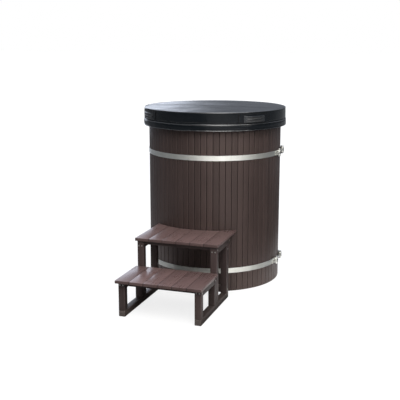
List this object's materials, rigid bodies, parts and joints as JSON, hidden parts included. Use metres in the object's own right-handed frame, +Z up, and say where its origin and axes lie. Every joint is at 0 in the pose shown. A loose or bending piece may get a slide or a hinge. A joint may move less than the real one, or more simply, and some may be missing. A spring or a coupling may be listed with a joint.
{
  "type": "cold plunge tub",
  "caption": "Upright staved barrel tub for cold immersion, with clamped steel hoops, a moulded liner, an insulated fold-over cover, a rear drain valve and matching two-tread steps.",
  "frame": {"origin": "centre of the barrel's flat underside, on the floor", "axes": "+Z up along the barrel's axis; the steps stand towards -Y and the drain is towards +Y"},
  "size_m": [0.86, 1.459, 1.0475],
  "materials": {
    "stave_composite": "satin",
    "tread_composite": "satin",
    "frame_composite": "satin",
    "stainless": "satin",
    "cover_vinyl": "satin",
    "cover_foam": "matte",
    "strap_webbing": "satin",
    "liner_plastic": "satin",
    "insulation": "matte",
    "base_board": "matte",
    "fitting_plastic": "satin",
    "lever_paint": "satin"
  },
  "bodies": {
    "tub": {"base_plate": "base_board", "insulation_foam": "insulation", "inner_liner": "liner_plastic", "stave_panel_1": "stave_composite", "stave_panel_2": "stave_composite", "stave_panel_3": "stave_composite", "stave_panel_4": "stave_composite", "stave_panel_5": "stave_composite", "stave_panel_6": "stave_composite", "stave_panel_7": "stave_composite", "upper_hoop_band": "stainless", "upper_hoop_t_bolt": "stainless", "upper_hoop_clamp_bar": "stainless", "lower_hoop_band": "stainless", "lower_hoop_t_bolt": "stainless", "lower_hoop_clamp_bar": "stainless", "drain_bulkhead": "fitting_plastic", "drain_valve_body": "fitting_plastic"},
    "cover_rear": {"cover_jacket_rear": "cover_vinyl", "cover_core_rear": "cover_foam", "cover_handle_rear_left": "strap_webbing", "cover_handle_rear_right": "strap_webbing"},
    "cover_front": {"cover_jacket_front": "cover_vinyl", "cover_core_front": "cover_foam", "cover_handle_front_left": "strap_webbing", "cover_handle_front_right": "strap_webbing"},
    "drain_lever": {"drain_lever": "lever_paint"},
    "upper_nut": {"upper_hoop_nut": "stainless"},
    "lower_nut": {"lower_hoop_nut": "stainless"},
    "steps": {"step_runner_left": "frame_composite", "step_front_leg_left": "frame_composite", "step_short_leg_left": "frame_composite", "step_tall_leg_left": "frame_composite", "step_rear_leg_left": "frame_composite", "step_lower_bearer_left": "frame_composite", "step_upper_bearer_left": "frame_composite", "step_runner_right": "frame_composite", "step_front_leg_right": "frame_composite", "step_short_leg_right": "frame_composite", "step_tall_leg_right": "frame_composite", "step_rear_leg_right": "frame_composite", "step_lower_bearer_right": "frame_composite", "step_upper_bearer_right": "frame_composite", "step_lower_front_batten": "frame_composite", "step_lower_rear_batten": "frame_composite", "step_upper_front_batten": "frame_composite", "step_upper_rear_batten": "frame_composite", "step_rear_rail": "frame_composite", "step_lower_board_1": "tread_composite", "step_lower_board_2": "tread_composite", "step_lower_board_3": "tread_composite", "step_lower_board_4": "tread_composite", "step_lower_board_5": "tread_composite", "step_lower_board_6": "tread_composite", "step_upper_board_1": "tread_composite", "step_upper_board_2": "tread_composite", "step_upper_board_3": "tread_composite", "step_upper_board_4": "tread_composite", "step_upper_board_5": "tread_composite", "step_upper_board_6": "tread_composite"}
  },
  "joints": [
    {"name": "cover_lift", "type": "slide", "parent": "tub", "child": "cover_rear", "axis": [0, 0, 1], "range_m": [0, 0.35]},
    {"name": "cover_fold", "type": "hinge", "parent": "cover_rear", "child": "cover_front", "pos_m": [0, 0, 1.0491], "axis": [-1, 0, 0], "range_deg": [0, 174]},
    {"name": "drain_lever_turn", "type": "hinge", "parent": "tub", "child": "drain_lever", "pos_m": [0.01436, 0.44077, 0.114], "axis": [0, 0, 1], "range_deg": [0, 90]},
    {"name": "upper_nut_turn", "type": "hinge", "parent": "tub", "child": "upper_nut", "pos_m": [0.41145, -0.04125, 0.7845], "axis": [0.0872, -0.9962, 0], "continuous": true},
    {"name": "lower_nut_turn", "type": "hinge", "parent": "tub", "child": "lower_nut", "pos_m": [0.41023, -0.052, 0.1245], "axis": [0.061, -0.9981, 0], "continuous": true},
    {"name": "steps_slide", "type": "slide", "parent": "tub", "child": "steps", "axis": [0, -1, 0], "range_m": [0, 0.4]}
  ]
}
